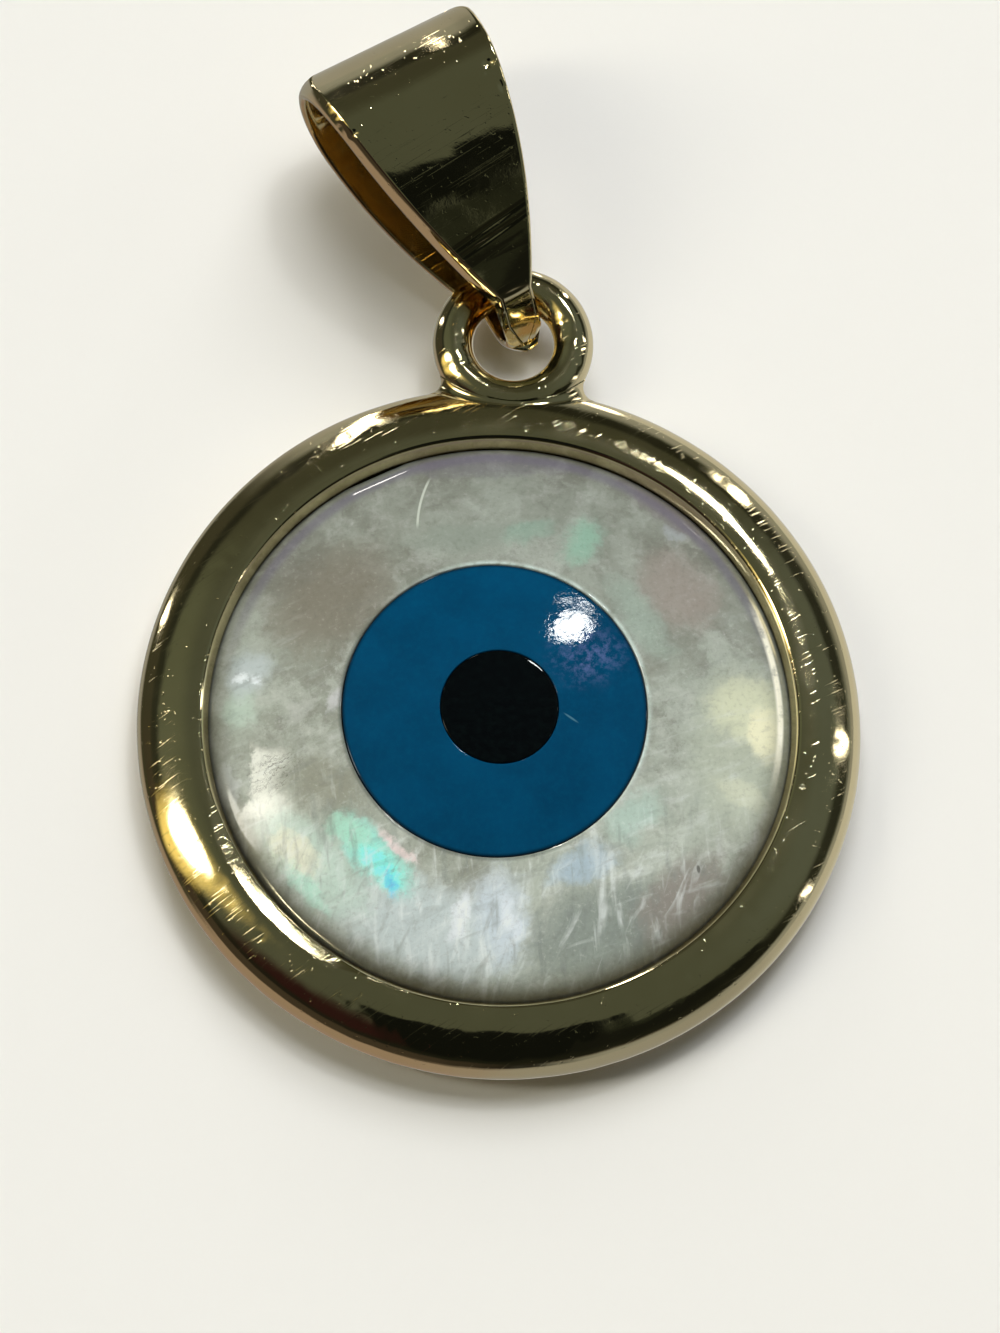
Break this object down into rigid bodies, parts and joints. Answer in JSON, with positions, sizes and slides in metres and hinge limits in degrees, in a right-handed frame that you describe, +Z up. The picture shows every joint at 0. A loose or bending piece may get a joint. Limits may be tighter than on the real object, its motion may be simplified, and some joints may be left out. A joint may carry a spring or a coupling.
{
  "type": "evil eye pendant",
  "caption": "Round pendant: domed pearly shell disc with inlaid blue iris and black pupil, in a polished gold-tone bezel with a cast loop and a tapered strip bail linked through it.",
  "frame": {"origin": "centre of the bezel's flat back, on the surface the pendant lies on", "axes": "+Z up out of the eye, +Y from the eye towards the loop and bail, +X to the viewer's right"},
  "size_m": [0.015, 0.0229, 0.0041],
  "materials": {
    "gold_plate": "mirror polished gold plating with small dents",
    "shell": "polished mother-of-pearl, cloudy grey-white with green and cyan patches",
    "blue_inlay": "polished blue stone",
    "black_inlay": "polished black stone"
  },
  "bodies": {
    "root": {"bezel": "gold_plate", "shell_disc": "shell", "iris": "blue_inlay", "pupil": "black_inlay", "bail": "gold_plate"}
  },
  "joints": []
}
